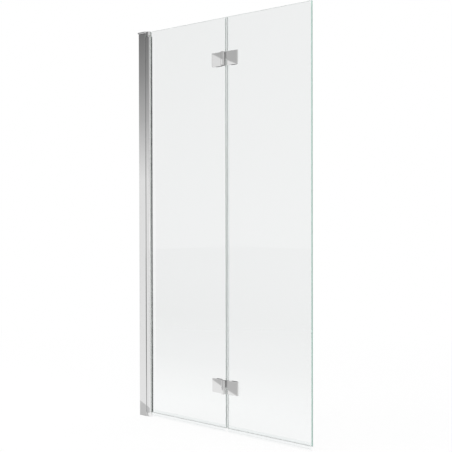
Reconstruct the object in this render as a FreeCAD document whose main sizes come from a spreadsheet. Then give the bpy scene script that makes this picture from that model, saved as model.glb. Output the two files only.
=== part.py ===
import FreeCAD, Part
import math
import operator
import os
from types import SimpleNamespace

import Sketcher
from FreeCAD import Placement, Rotation, Vector

# A two-panel folding bath screen: a wall post, an inner glass panel that swings on the post,
# and an outer glass panel that folds on two hinges in front of the glass.
# Millimetres. +Z is up, +X runs from the wall along the glass, and -Y is the front.
# The origin lies on the wall, level with the bath rim, in the middle plane of the glass.

doc = FreeCAD.newDocument("folding_bath_screen")
sheet = doc.addObject("Spreadsheet::Sheet", "sizes")

DRIVING_SIZES = {
    # whole screen
    "screen_height": 1500,  # bath rim to the top of the glass
    "screen_width": 900,  # wall to the free edge of the outer glass
    "glass_thickness": 8,
    "glass_arris": 0.8,  # ground edge of the glass
    "glass_rise": 1.7,  # lower edge of the glass above the bottom bracket
    "panel_gap": 9,  # between the two panes
    "fold_margin": 6.5,  # folded pane's free edge past the pivot profile
    # wall channel
    "post_thickness": 22,
    "channel_depth": 40,
    "channel_wall": 2,
    "channel_base": 2.5,
    "channel_drop": 4,  # its upper end below the top of the glass
    "lip_radius": 1,
    "wall_hole_radius": 3,
    "wall_hole_end": 98,  # outermost wall holes from the channel's ends
    # expander in the channel
    "expander_start": 14,  # its back, from the wall
    "expander_wall": 1.8,
    "slide_clearance": 0.2,
    # brackets and cap
    "bracket_height": 16.3,  # bath rim to the top of the bottom bracket
    "bracket_drop": 14.8,  # underside of the top bracket below the top of the glass
    "arm_rise": 5.2,  # top of its arm above the channel
    "bracket_reach": 0.3,  # arm's shoulder past the end of the channel
    "spigot_length": 30,
    "cap_thickness": 7.3,
    "cap_overhang": 5.2,
    "cap_edge": 3.4,
    "peg_radius": 2,
    "peg_length": 6,
    "peg_spacing": 18,
    # swinging profile and its pivots
    "swing_clearance": 0.5,
    "back_bulge": 2.7,  # rounded back of the profile past half the post's thickness
    "pivot_reach": 12.5,  # pivot axis to the profile's free end
    "pivot_corner": 3,
    "upper_gap": 3.6,  # above the swinging profile
    "lower_gap": 0.8,  # below it
    "pivot_pin_radius": 2.5,
    "pivot_pin_grip": 40,  # length inside the profile
    "pivot_pin_reach": 7.5,  # length inside the bracket
    "pin_end_room": 1.2,
    "bush_wall": 1.9,
    "bush_flange": 2,
    "flange_play": 0.2,
    "press_clearance": 0.02,
    "pin_clearance": 0.06,
    "slot_wall": 1.5,  # between the pin's bore and the glass slot
    "glass_seat": 0.5,  # gap under the glass in its slot
    "notch_clearance": 2.2,
    "gasket_thickness": 1.5,
    "bead_width": 2.2,
    "bead_height": 2.6,
    "bead_radius": 1.1,
    # fasteners of the post
    "screw_radius": 2,
    "screw_head_radius": 3.5,
    "screw_head_height": 2,
    "adjusting_screw_length": 6,
    "adjusting_screw_end": 150,
    "adjusting_screw_setback": 13,  # behind the channel's open edge
    "bracket_screw_length": 12,
    "screw_cap_wall": 1.4,
    "screw_cap_room": 0.5,
    # hinges
    "hinge_inset": 149,  # hinge centre from the end of the glass
    "plate_width": 55.2,
    "back_plate_width": 30,
    "plate_height": 50,
    "plate_thickness": 4.5,
    "plate_corner": 1.5,
    "plate_bevel": 1,
    "plate_edge": 3.5,  # outer plate behind its pane's edge
    "pad_thickness": 1,
    "pad_inset": 0.4,
    "barrel_width": 14,
    "barrel_depth": 11.5,
    "barrel_corner": 3,
    "barrel_clearance": 4.1,
    "barrel_split": 0.5,  # gap between the two knuckles
    "barrel_roof": 2,
    "neck_overlap": 2,
    "neck_recess": 2.5,
    "hinge_pin_radius": 3,
    "hinge_bush_wall": 1.4,
    "washer_thickness": 0.35,
    "clamp_spacing": 26,
    "clamp_screw_radius": 2.6,
    "clamp_head_radius": 5,
    "clamp_thread": 5.5,  # screw inside the boss
    "boss_radius": 5.5,
    "boss_gap": 1.5,  # boss short of the glass's back face
    "sleeve_wall": 2.2,
    "fit_clearance": 0.1,
    # seals
    "seal_wall": 1,
    "seal_web": 1.2,
    "seal_grip": 11.4,
    "seal_fit": 0.05,
    "seal_end": 0.4,
    "fin_thickness": 1.6,
    "fin_clearance": 1.5,  # above the bath rim
    "lip_reach": 3,
    "lip_drop": 7.2,
    "lip_thickness": 1,
    "joint_grip": 9,
    "joint_fin": 1.2,
    "joint_touch": 0.6,
}

for row, (name, number) in enumerate(DRIVING_SIZES.items(), start=1):
    sheet.set(f"A{row}", name)
    sheet.set(f"B{row}", str(number))
    sheet.setAlias(f"B{row}", name)
doc.recompute()

OPERATIONS = {"+": operator.add, "-": operator.sub, "*": operator.mul, "/": operator.truediv}


class Size:
    """A length in mm together with the sheet formula that gives it."""

    def __init__(self, value, formula):
        self.value = float(value)
        self.formula = formula

    def joined(self, sign, other, swap=False):
        other = other if isinstance(other, Size) else Size(other, repr(other))
        left, right = (other, self) if swap else (self, other)
        value = OPERATIONS[sign](left.value, right.value)
        return Size(value, f"({left.formula} {sign} {right.formula})")

    def __add__(self, other):
        return self.joined("+", other)

    def __radd__(self, other):
        return self.joined("+", other, swap=True)

    def __sub__(self, other):
        return self.joined("-", other)

    def __rsub__(self, other):
        return self.joined("-", other, swap=True)

    def __mul__(self, other):
        return self.joined("*", other)

    def __rmul__(self, other):
        return self.joined("*", other, swap=True)

    def __truediv__(self, other):
        return self.joined("/", other)

    def __neg__(self):
        return self.joined("-", 0, swap=True)


def half_chord(radius, distance):
    """Half the chord of a circle at this distance from its centre."""
    square = radius * radius - distance * distance
    return Size(math.sqrt(square.value), f"sqrt{square.formula}")


s = SimpleNamespace(**{name: Size(sheet.get(name), f"{sheet.Name}.{name}") for name in DRIVING_SIZES})
zero = Size(0, "0")

# Places that several pieces share
half_post = s.post_thickness / 2
half_glass = s.glass_thickness / 2
pivot_x = s.channel_depth + half_post + s.swing_clearance
pivot_end = pivot_x + s.pivot_reach
back_radius = half_post + s.back_bulge
recess_radius = back_radius + s.swing_clearance
channel_top = s.screen_height - s.channel_drop
upper_bracket_z = s.screen_height - s.bracket_drop
profile_bottom = s.bracket_height + s.lower_gap
profile_top = upper_bracket_z - s.upper_gap
slide_half = half_post - s.channel_wall - s.slide_clearance
slot_start = pivot_x + s.pivot_pin_radius + s.slot_wall
slot_half = half_glass + s.gasket_thickness
glass_left = slot_start + s.glass_seat
glass_bottom = s.bracket_height + s.glass_rise
notch_x = pivot_x + half_post + s.notch_clearance
fold_x = (s.screen_width + pivot_end + s.fold_margin) / 2
outer_edge = fold_x + s.panel_gap
plate_back = half_glass + s.pad_thickness
plate_front = plate_back + s.plate_thickness
half_barrel = s.barrel_width / 2
fold_front = plate_front + s.barrel_depth / 2
barrel_face = plate_front + s.barrel_depth
half_plate = s.plate_height / 2
half_split = s.barrel_split / 2
inner_plate_right = fold_x - half_barrel - s.barrel_clearance
inner_plate_left = inner_plate_right - s.plate_width
outer_plate_left = outer_edge + s.plate_edge
outer_plate_right = outer_plate_left + s.plate_width
inner_clamp_x = inner_plate_right - s.plate_width / 2
outer_clamp_x = outer_plate_left + s.plate_width / 2
hinge_heights = {"lower": glass_bottom + s.hinge_inset, "upper": s.screen_height - s.hinge_inset}
sleeve_bore = s.boss_radius + s.fit_clearance
glass_hole = sleeve_bore + s.sleeve_wall + s.fit_clearance
clamp_bore = s.clamp_screw_radius + s.fit_clearance
hinge_bush_bore = s.hinge_pin_radius + s.pin_clearance
hinge_bush_seat = hinge_bush_bore + s.hinge_bush_wall
pivot_bush_bore = s.pivot_pin_radius + s.pin_clearance
pivot_bush_seat = pivot_bush_bore + s.bush_wall
expander_inner_start = s.expander_start + s.expander_wall
expander_inner_end = pivot_x - recess_radius - s.expander_wall
expander_inner_half = slide_half - s.expander_wall
adjusting_x = s.channel_depth - s.adjusting_screw_setback
adjusting_heights = [
    s.adjusting_screw_end,
    channel_top / 2,
    channel_top - s.adjusting_screw_end,
]
bracket_screw_heights = {
    "lower": s.bracket_height + s.spigot_length / 2,
    "upper": upper_bracket_z - s.spigot_length / 2,
}
wall_hole_step = (channel_top - 2 * s.wall_hole_end) / 3
wall_hole_heights = [s.wall_hole_end + index * wall_hole_step for index in range(4)]
peg_places = [s.channel_base + s.peg_spacing / 2, s.channel_base + s.peg_spacing * 3 / 2]

nodes = []


def keep(label, thing):
    """Names a finished piece, which is then written to a file of that name."""
    thing.Label = label
    nodes.append(thing)
    return thing


def new_body(label):
    return doc.addObject("PartDesign::Body", label)


def group(label, pieces):
    """Several separate solids that share one name."""
    compound = doc.addObject("Part::Compound", label)
    compound.Links = pieces
    return keep(label, compound)


def corner(x, y, radius=None):
    """A corner of an outline, rounded if it has a radius. Its two sides lie along the axes."""
    return SimpleNamespace(x=x, y=y, radius=radius, centre=None, loose="")


def arc_to(x, y, centre, radius, turn, loose):
    """An arc to this point. Loose is the coordinate of both its ends that the circle settles."""
    return SimpleNamespace(x=x, y=y, radius=radius, centre=centre, turn=turn, loose=loose)


def towards(here, there, distance):
    """The point at a distance from one corner of an outline along its side to another."""
    across, along = there.x.value - here.x.value, there.y.value - here.y.value
    if abs(across) > abs(along):
        return here.x + distance * math.copysign(1, across), here.y
    return here.x, here.y + distance * math.copysign(1, along)


def stations(corners):
    """The points of an outline in order, each with the arc that leads to it, if any."""
    points = []
    for index, here in enumerate(corners):
        before, after = corners[index - 1], corners[(index + 1) % len(corners)]
        if here.centre:
            points[-1].loose = here.loose
            points.append(here)
        elif here.radius:
            cross = (here.x.value - before.x.value) * (after.y.value - here.y.value) - (
                here.y.value - before.y.value
            ) * (after.x.value - here.x.value)
            first, last = towards(here, before, here.radius), towards(here, after, here.radius)
            points.append(corner(*first))
            points.append(arc_to(*last, None, here.radius, math.copysign(1, cross), ""))
        else:
            points.append(corner(here.x, here.y))
    return points


def arc_geometry(start, end, radius, turn):
    """An arc between two points that turns left (1) or right (-1)."""
    chord = end - start
    side = Vector(-chord.y, chord.x, 0).normalize() * turn
    centre = start + chord / 2 + side * math.sqrt(max(radius**2 - (chord.Length / 2) ** 2, 0))
    angles = [math.atan2(p.y - centre.y, p.x - centre.x) for p in (start, end)]
    first, last = angles if turn > 0 else reversed(angles)
    return Part.ArcOfCircle(Part.Circle(centre, Vector(0, 0, 1), radius), first, last)


def limit(sketch, kind, length, *places):
    """A dimension of a sketch, bound to the sheet."""
    index = sketch.addConstraint(Sketcher.Constraint(kind, *places, length.value))
    sketch.setExpression(f"Constraints[{index}]", length.formula)


def draw_outline(sketch, corners):
    """Draws a closed outline and binds each of its points and radii to the sheet."""
    points = stations(corners)
    sides = []
    for index, end in enumerate(points):
        start = points[index - 1]
        first, last = (Vector(p.x.value, p.y.value, 0) for p in (start, end))
        if end.radius:
            side = sketch.addGeometry(arc_geometry(first, last, end.radius.value, end.turn))
            ends = (1, 2) if end.turn > 0 else (2, 1)
            limit(sketch, "Radius", end.radius, side)
        else:
            side = sketch.addGeometry(Part.LineSegment(first, last))
            ends = (1, 2)
        if end.centre:
            limit(sketch, "DistanceX", end.centre[0], -1, 1, side, 3)
            limit(sketch, "DistanceY", end.centre[1], -1, 1, side, 3)
        sides.append((side, *ends))
    for index, point in enumerate(points):
        side, _, finish = sides[index]
        after, begin, _ = sides[(index + 1) % len(sides)]
        sketch.addConstraint(Sketcher.Constraint("Coincident", side, finish, after, begin))
        if point.loose != "x":
            limit(sketch, "DistanceX", point.x, -1, 1, side, finish)
        if point.loose != "y":
            limit(sketch, "DistanceY", point.y, -1, 1, side, finish)


def draw_circles(sketch, radius, centres):
    for x, y in centres:
        middle = Vector(x.value, y.value, 0)
        circle = sketch.addGeometry(Part.Circle(middle, Vector(0, 0, 1), radius.value))
        limit(sketch, "Radius", radius, circle)
        limit(sketch, "DistanceX", x, -1, 1, circle, 3)
        limit(sketch, "DistanceY", y, -1, 1, circle, 3)


def new_sketch(body, plane, offset):
    """A sketch on one of the body's own planes: XY looks down, XZ at the front, YZ at the end."""
    sketch = body.newObject("Sketcher::SketchObject", "Sketch")
    support = next(f for f in body.Origin.OriginFeatures if f.Role == f"{plane}_Plane")
    sketch.AttachmentSupport = [(support, "")]
    sketch.MapMode = "FlatFace"
    sketch.setExpression("AttachmentOffset.Base.z", offset.formula)
    return sketch


def extrude(kind, body, plane, offset, length, outlines, circles, back):
    sketch = new_sketch(body, plane, offset)
    for outline in outlines:
        draw_outline(sketch, outline)
    for radius, centres in circles:
        draw_circles(sketch, radius, centres)
    feature = body.newObject(f"PartDesign::{kind}", kind)
    feature.Profile = sketch
    feature.setExpression("Length", length.formula)
    feature.Reversed = back
    return feature


def pad(body, plane, offset, length, *outlines, circles=(), back=False):
    """Adds an extrusion. It rises up, to the front or away from the wall, unless it goes back."""
    return extrude("Pad", body, plane, offset, length, outlines, circles, back)


def pocket(body, plane, offset, length, *outlines, circles=(), back=False):
    """Cuts an extrusion. It goes up, to the front or away from the wall, unless it goes back."""
    return extrude("Pocket", body, plane, offset, length, outlines, circles, not back)


def turned(label, profile, place, direction=None):
    """A turned piece: a profile of radius and height, spun about an axis through this place."""
    body = new_body(label)
    sketch = new_sketch(body, "XZ", zero)
    draw_outline(sketch, profile)
    feature = body.newObject("PartDesign::Revolution", "Revolution")
    feature.Profile = sketch
    feature.ReferenceAxis = (sketch, ["V_Axis"])
    feature.Angle = 360
    if direction:
        body.Placement = Placement(Vector(), direction)
    for axis, length in zip("xyz", place):
        body.setExpression(f"Placement.Base.{axis}", length.formula)
    return body


def edges_of(feature, test):
    """The names of a feature's edges that pass a test of their box."""
    doc.recompute()
    edges = enumerate(feature.Shape.Edges, start=1)
    return [f"Edge{number}" for number, edge in edges if test(edge.BoundBox, edge)]


def flat_at(low, high, place):
    return abs(low - place.value) < 1e-4 and abs(high - place.value) < 1e-4


def dress(kind, body, base, names, size, value):
    feature = body.newObject(f"PartDesign::{kind}", kind)
    feature.Base = (base, names)
    feature.setExpression(size, value.formula)
    return feature


def box(left, right, bottom, top, radius=None):
    """A rectangle, with round corners if it has a radius."""
    places = ((left, bottom), (right, bottom), (right, top), (left, top))
    return [corner(x, y, radius) for x, y in places]


POINT_BACK = Rotation(Vector(1, 0, 0), 90)  # a turned piece's top then points to the front
POINT_OUT = Rotation(Vector(0, 1, 0), 90)  # and here away from the wall
UPSIDE_DOWN = Rotation(Vector(1, 0, 0), 180)


def wall_channel():
    """U channel: the open edge takes the expander, and the base has holes for wall screws."""
    body = new_body("wall_channel")
    inside = half_post - s.channel_wall
    outline = [
        corner(zero, -half_post),
        corner(s.channel_depth, -half_post, s.lip_radius),
        corner(s.channel_depth, -inside),
        corner(s.channel_base, -inside),
        corner(s.channel_base, inside),
        corner(s.channel_depth, inside),
        corner(s.channel_depth, half_post, s.lip_radius),
        corner(zero, half_post),
    ]
    pad(body, "XY", zero, channel_top, outline)
    wall_holes = [(zero, height) for height in wall_hole_heights]
    pocket(body, "YZ", zero, s.channel_base, circles=[(s.wall_hole_radius, wall_holes)])
    screw_holes = [(adjusting_x, height) for height in adjusting_heights]
    screw_hole = s.screw_radius + s.fit_clearance
    pocket(body, "XZ", zero, half_post, circles=[(screw_hole, screw_holes)], back=True)
    keep("wall_channel", body)


def expander_profile():
    """Hollow slide in the channel, with a round recess for the back of the swinging profile."""
    body = new_body("expander_profile")
    recess = half_chord(recess_radius, pivot_x - s.channel_depth)
    outline = [
        corner(s.expander_start, -slide_half),
        corner(s.channel_depth, -slide_half),
        corner(s.channel_depth, -recess),
        arc_to(s.channel_depth, recess, (pivot_x, zero), recess_radius, -1, "y"),
        corner(s.channel_depth, slide_half),
        corner(s.expander_start, slide_half),
    ]
    hollow = box(expander_inner_start, expander_inner_end, -expander_inner_half, expander_inner_half)
    length = upper_bracket_z - s.bracket_height
    pad(body, "XY", s.bracket_height, length, outline, hollow)
    screw_hole = s.screw_radius + s.press_clearance
    screw_holes = [(adjusting_x, height) for height in adjusting_heights]
    pocket(body, "XZ", zero, slide_half, circles=[(screw_hole, screw_holes)], back=True)
    bracket_holes = [(zero, height) for height in bracket_screw_heights.values()]
    clear_hole = s.screw_radius + s.fit_clearance
    circles = [(clear_hole, bracket_holes)]
    pocket(body, "YZ", s.expander_start, s.expander_wall, circles=circles)
    keep("expander_profile", body)


def pivot_bracket(label, bottom, height, screw_height, upper):
    """Cast arm: a root in the channel, a round end over the pivot and a spigot in the expander."""
    body = new_body(label)
    shoulder = s.channel_depth + s.bracket_reach
    root = s.channel_base + s.slide_clearance
    arm = [
        corner(shoulder, -half_post),
        corner(pivot_x, -half_post),
        arc_to(pivot_x, half_post, (pivot_x, zero), half_post, 1, "y"),
        corner(shoulder, half_post),
    ]
    outline = [
        corner(root, -slide_half),
        corner(shoulder, -slide_half),
        *arm,
        corner(shoulder, slide_half),
        corner(root, slide_half),
    ]
    pad(body, "XY", bottom, height, outline)
    gap = s.slide_clearance
    spigot = box(
        expander_inner_start + gap,
        expander_inner_end - gap,
        gap - expander_inner_half,
        expander_inner_half - gap,
    )
    seat = bottom if upper else bottom + height
    pad(body, "XY", seat, s.spigot_length, spigot, back=upper)
    bush_hole = [(pivot_bush_seat, [(pivot_x, zero)])]
    bush_depth = s.pivot_pin_reach + s.pin_end_room
    pocket(body, "XY", seat, bush_depth, circles=bush_hole, back=not upper)
    screw_hole = [(s.screw_radius + s.press_clearance, [(zero, screw_height)])]
    screw_start = expander_inner_start + gap
    pocket(body, "YZ", screw_start, s.bracket_screw_length, circles=screw_hole)
    if upper:
        pad(body, "XY", channel_top, s.arm_rise, arm)
        pegs = [(s.peg_radius + s.pin_clearance, [(x, zero) for x in peg_places])]
        peg_depth = s.peg_length + s.pin_end_room
        pocket(body, "XY", channel_top, peg_depth, circles=pegs, back=True)
    keep(label, body)


def top_cap():
    """Plate on top of the channel with rounded front and rear edges, held by two pegs."""
    body = new_body("top_cap")
    half = half_post + s.cap_overhang
    plate = pad(body, "XY", channel_top, s.cap_thickness, box(zero, s.channel_depth, -half, half))

    def long_rim(bounds, _):
        return any(flat_at(bounds.YMin, bounds.YMax, side) for side in (half, -half)) and (
            bounds.XMax - bounds.XMin > 1
        )

    dress("Fillet", body, plate, edges_of(plate, long_rim), "Radius", s.cap_edge)
    pegs = [(s.peg_radius, [(x, zero) for x in peg_places])]
    pad(body, "XY", channel_top, s.peg_length, circles=pegs, back=True)
    keep("top_cap", body)


def pivot_bush(label, place, gap, direction=None):
    """Flanged nylon bush: the flange fills the gap at the end of the swinging profile."""
    outside = pivot_bush_seat - s.press_clearance
    rim = outside + s.bush_flange
    flange = gap - s.flange_play
    profile = [
        corner(pivot_bush_bore, -flange),
        corner(rim, -flange),
        corner(rim, zero),
        corner(outside, zero),
        corner(outside, s.pivot_pin_reach),
        corner(pivot_bush_bore, s.pivot_pin_reach),
    ]
    keep(label, turned(label, profile, place, direction))


def round_bar(label, radius, bottom, length, x, y):
    bar = doc.addObject("Part::Cylinder", label)
    bar.setExpression("Radius", radius.formula)
    bar.setExpression("Height", length.formula)
    for axis, place in zip("xyz", (x, y, bottom)):
        bar.setExpression(f"Placement.Base.{axis}", place.formula)
    return keep(label, bar)


def pan_screw(label, length, place, direction):
    """Screw with a flat round head. The head stands on the place."""
    profile = [
        corner(zero, -s.screw_head_height),
        corner(s.screw_head_radius, -s.screw_head_height),
        corner(s.screw_head_radius, zero),
        corner(s.screw_radius, zero),
        corner(s.screw_radius, length),
        corner(zero, length),
    ]
    return turned(label, profile, place, direction)


def screw_cap(label, place, direction):
    """Snap cap over the head of an adjusting screw."""
    bore = s.screw_head_radius + s.screw_cap_room
    rim = bore + s.screw_cap_wall
    roof = s.screw_head_height + s.screw_cap_room
    profile = [
        corner(bore, zero),
        corner(bore, -roof),
        corner(zero, -roof),
        corner(zero, -(roof + s.screw_cap_wall)),
        corner(rim, -(roof + s.screw_cap_wall), s.screw_cap_wall),
        corner(rim, zero),
    ]
    return turned(label, profile, place, direction)


def post_fasteners():
    places = [(adjusting_x, half_post, height) for height in adjusting_heights]
    length = s.adjusting_screw_length
    screws = [pan_screw("adjusting_screw", length, place, POINT_BACK) for place in places]
    group("adjusting_screws", screws)
    group("screw_caps", [screw_cap("screw_cap", place, POINT_BACK) for place in places])
    group(
        "bracket_screws",
        [
            pan_screw("bracket_screw", s.bracket_screw_length, (s.expander_start, zero, height), POINT_OUT)
            for height in bracket_screw_heights.values()
        ],
    )


def pivot_profile():
    """Swinging profile: round back in the post's recess, bore for the pins and slot for the glass."""
    body = new_body("pivot_profile")
    back_x = pivot_x - half_chord(back_radius, half_post)
    outline = [
        corner(pivot_end, -half_post, s.pivot_corner),
        corner(pivot_end, -slot_half),
        corner(slot_start, -slot_half),
        corner(slot_start, slot_half),
        corner(pivot_end, slot_half),
        corner(pivot_end, half_post, s.pivot_corner),
        corner(back_x, half_post),
        arc_to(back_x, -half_post, (pivot_x, zero), back_radius, 1, "x"),
    ]
    bore = s.pivot_pin_radius + s.press_clearance
    length = profile_top - profile_bottom
    pad(body, "XY", profile_bottom, length, outline, circles=[(bore, [(pivot_x, zero)])])
    keep("pivot_profile", body)


def gasket(label, side):
    """Grey strip between the glass and the slot, with a rounded bead outside the slot."""
    body = new_body(label)
    strip_start = glass_left + s.glass_seat
    bead_end = pivot_end + s.bead_width
    bead_top = half_glass + s.bead_height
    outline = [
        corner(strip_start, side * half_glass),
        corner(bead_end, side * half_glass),
        corner(bead_end, side * bead_top, s.bead_radius),
        corner(pivot_end, side * bead_top),
        corner(pivot_end, side * slot_half),
        corner(strip_start, side * slot_half),
    ]
    pad(body, "XY", glass_bottom, profile_top - s.glass_seat - glass_bottom, outline)
    keep(label, body)


def pane(label, outline, clamp_x):
    """Glass pane with ground edges and two clamp holes for each hinge."""
    body = new_body(label)
    sheet_of_glass = pad(body, "XZ", -half_glass, s.glass_thickness, outline)

    def face_rim(bounds, _):
        faces = (half_glass, -half_glass)
        return any(flat_at(bounds.YMin, bounds.YMax, face) for face in faces)

    rim = edges_of(sheet_of_glass, face_rim)
    dress("Chamfer", body, sheet_of_glass, rim, "Size", s.glass_arris)
    half_spacing = s.clamp_spacing / 2
    heights = [z + half_spacing * sign for z in hinge_heights.values() for sign in (-1, 1)]
    holes = [(glass_hole, [(clamp_x, height) for height in heights])]
    pocket(body, "XZ", -half_glass, s.glass_thickness, circles=holes)
    keep(label, body)


def inner_glass():
    """The inner pane has a notched top corner, which clears the fixed bracket."""
    outline = [
        corner(glass_left, glass_bottom),
        corner(fold_x, glass_bottom),
        corner(fold_x, s.screen_height),
        corner(notch_x, s.screen_height),
        corner(notch_x, profile_top),
        corner(glass_left, profile_top),
    ]
    pane("inner_glass", outline, inner_clamp_x)


def outer_glass():
    outline = box(outer_edge, s.screen_width, glass_bottom, s.screen_height)
    pane("outer_glass", outline, outer_clamp_x)


def bottom_seal(label, start, end):
    """Clear strip: two legs grip the glass, a fin wipes the rim and a lip at the front sheds drips."""
    body = new_body(label)
    inside = half_glass + s.seal_fit
    outside = inside + s.seal_wall
    top = glass_bottom + s.seal_grip
    seat = glass_bottom - s.seal_fit
    under = seat - s.seal_web
    half_fin = s.fin_thickness / 2
    round_tip = half_fin * 0.9  # just short of a full half round
    outline = [
        corner(-outside, top),
        corner(-outside, under),
        corner(-(outside + s.lip_reach), under - s.lip_drop),
        corner(s.lip_thickness - outside - s.lip_reach, under - s.lip_drop),
        corner(s.lip_thickness - outside, under),
        corner(-half_fin, under),
        corner(-half_fin, s.fin_clearance, round_tip),
        corner(half_fin, s.fin_clearance, round_tip),
        corner(half_fin, under),
        corner(outside, under),
        corner(outside, top),
        corner(inside, top),
        corner(inside, seat),
        corner(-inside, seat),
        corner(-inside, top),
    ]
    pad(body, "YZ", start, end - start, outline)
    keep(label, body)


def joint_seal():
    """Clear strip on the outer pane's edge, cut at the hinges, whose fin closes the joint."""
    inside = half_glass + s.seal_fit
    outside = inside + s.seal_wall
    seat = outer_edge - s.seal_fit
    web = seat - s.seal_web
    grip = outer_edge + s.joint_grip
    half_fin = s.joint_fin / 2
    tip = fold_x + s.joint_touch
    outline = [
        corner(grip, -outside),
        corner(grip, -inside),
        corner(seat, -inside),
        corner(seat, inside),
        corner(grip, inside),
        corner(grip, outside),
        corner(web, outside),
        corner(web, half_fin),
        corner(tip, half_fin),
        corner(tip, -half_fin),
        corner(web, -half_fin),
        corner(web, -outside),
    ]
    gap = half_plate + s.seal_end
    ends = [glass_bottom + s.seal_grip + s.seal_end]
    for height in hinge_heights.values():
        ends += [height - gap, height + gap]
    ends.append(s.screen_height)
    pieces = []
    for bottom, top in zip(ends[::2], ends[1::2]):
        body = new_body("joint_seal_length")
        pad(body, "XY", bottom, top - bottom, outline)
        pieces.append(body)
    group("joint_seal", pieces)


def clamp_heights(height):
    return [height - s.clamp_spacing / 2, height + s.clamp_spacing / 2]


def add_bosses(body, clamp_x, height):
    """Round bosses behind a hinge leaf, which pass into the glass and take the clamp screws."""
    centres = [(clamp_x, z) for z in clamp_heights(height)]
    length = s.pad_thickness + s.glass_thickness - s.boss_gap
    boss_end = plate_back - length
    pad(body, "XZ", plate_back, length, circles=[(s.boss_radius, centres)], back=True)
    depth = s.clamp_thread + s.fit_clearance
    pocket(body, "XZ", boss_end, depth, circles=[(clamp_bore, centres)])


def leaf_plate(body, left, right, height):
    """Plate of a hinge leaf, bevelled all round the front."""
    outline = box(left, right, height - half_plate, height + half_plate, s.plate_corner)
    plate = pad(body, "XZ", plate_back, s.plate_thickness, outline)

    def front_rim(bounds, _):
        return flat_at(bounds.YMin, bounds.YMax, -plate_front)

    dress("Chamfer", body, plate, edges_of(plate, front_rim), "Size", s.plate_bevel)


def inner_leaf(level, height):
    """Leaf on the inner pane, with the lower knuckle, which holds the hinge pin."""
    label = f"{level}_hinge_inner_leaf"
    body = new_body(label)
    leaf_plate(body, inner_plate_left, inner_plate_right, height)
    root = inner_plate_right - s.neck_overlap
    left, right = fold_x - half_barrel, fold_x + half_barrel
    outline = [
        corner(root, -plate_back),
        corner(right, -plate_back, s.barrel_corner),
        corner(right, -barrel_face, s.barrel_corner),
        corner(left, -barrel_face, s.barrel_corner),
        corner(left, -plate_front),
        corner(root, -plate_front),
    ]
    bottom = height - half_plate
    knuckle = half_plate - half_split
    pad(body, "XY", bottom, knuckle, outline)
    bore = [(s.hinge_pin_radius + s.press_clearance, [(fold_x, -fold_front)])]
    pocket(body, "XY", bottom + knuckle, knuckle - s.barrel_roof, circles=bore, back=True)
    add_bosses(body, inner_clamp_x, height)
    keep(label, body)


def outer_leaf(level, height):
    """Leaf on the outer pane, with the upper knuckle, which turns on the hinge pin."""
    label = f"{level}_hinge_outer_leaf"
    body = new_body(label)
    leaf_plate(body, outer_plate_left, outer_plate_right, height)
    root = outer_plate_left + s.neck_overlap
    neck = fold_x - s.neck_overlap
    neck_face = plate_front - s.neck_recess
    left, right = fold_x - half_barrel, fold_x + half_barrel
    outline = [
        corner(neck, -plate_back),
        corner(root, -plate_back),
        corner(root, -neck_face),
        corner(right, -neck_face),
        corner(right, -barrel_face, s.barrel_corner),
        corner(left, -barrel_face, s.barrel_corner),
        corner(left, -plate_front, s.barrel_corner),
        corner(neck, -plate_front),
    ]
    bottom = height + half_split
    knuckle = half_plate - half_split
    pad(body, "XY", bottom, knuckle, outline)
    bore = [(hinge_bush_seat, [(fold_x, -fold_front)])]
    pocket(body, "XY", bottom, knuckle - s.barrel_roof, circles=bore)
    add_bosses(body, outer_clamp_x, height)
    keep(label, body)


def back_plate(label, clamp_x, height):
    """Narrower plate behind the glass, with two countersunk holes."""
    body = new_body(label)
    left, right = clamp_x - s.back_plate_width / 2, clamp_x + s.back_plate_width / 2
    outline = box(left, right, height - half_plate, height + half_plate, s.plate_corner)
    plate = pad(body, "XZ", -plate_front, s.plate_thickness, outline)

    def back_rim(bounds, _):
        return flat_at(bounds.YMin, bounds.YMax, plate_front)

    dress("Chamfer", body, plate, edges_of(plate, back_rim), "Size", s.plate_bevel)
    centres = [(clamp_x, z) for z in clamp_heights(height)]
    drilled = pocket(body, "XZ", -plate_front, s.plate_thickness, circles=[(clamp_bore, centres)])

    def hole_rim(bounds, edge):
        round_edge = isinstance(edge.Curve, Part.Circle) and edge.isClosed()
        return round_edge and flat_at(bounds.YMin, bounds.YMax, plate_front)

    sink = s.clamp_head_radius - s.clamp_screw_radius
    dress("Chamfer", body, drilled, edges_of(drilled, hole_rim), "Size", sink)
    keep(label, body)


def clamp_pads(label, left, right, clamp_x, height):
    """Two clear pads that keep the leaf and the back plate off the glass."""
    inset = s.pad_inset
    low, high = height - half_plate + inset, height + half_plate - inset
    holes = [(sleeve_bore, [(clamp_x, z) for z in clamp_heights(height)])]
    half_back = s.back_plate_width / 2
    pieces = []
    for start, low_x, high_x in (
        (half_glass, left, right),
        (-plate_back, clamp_x - half_back, clamp_x + half_back),
    ):
        body = new_body("clamp_pad")
        outline = box(low_x + inset, high_x - inset, low, high, s.plate_corner - inset)
        pad(body, "XZ", start, s.pad_thickness, outline, circles=holes)
        pieces.append(body)
    group(label, pieces)


def clamp_screws(label, clamp_x):
    """Countersunk screws from the back plates into the bosses of the leaves."""
    sink = s.clamp_head_radius - s.clamp_screw_radius
    boss_end = half_glass - s.boss_gap
    tip = plate_front - boss_end + s.clamp_thread
    profile = [
        corner(zero, zero),
        corner(s.clamp_head_radius, zero),
        corner(s.clamp_screw_radius, sink),
        corner(s.clamp_screw_radius, tip),
        corner(zero, tip),
    ]
    heights = [z for height in hinge_heights.values() for z in clamp_heights(height)]
    places = [(clamp_x, plate_front, z) for z in heights]
    group(label, [turned("clamp_screw", profile, place, POINT_BACK) for place in places])


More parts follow.
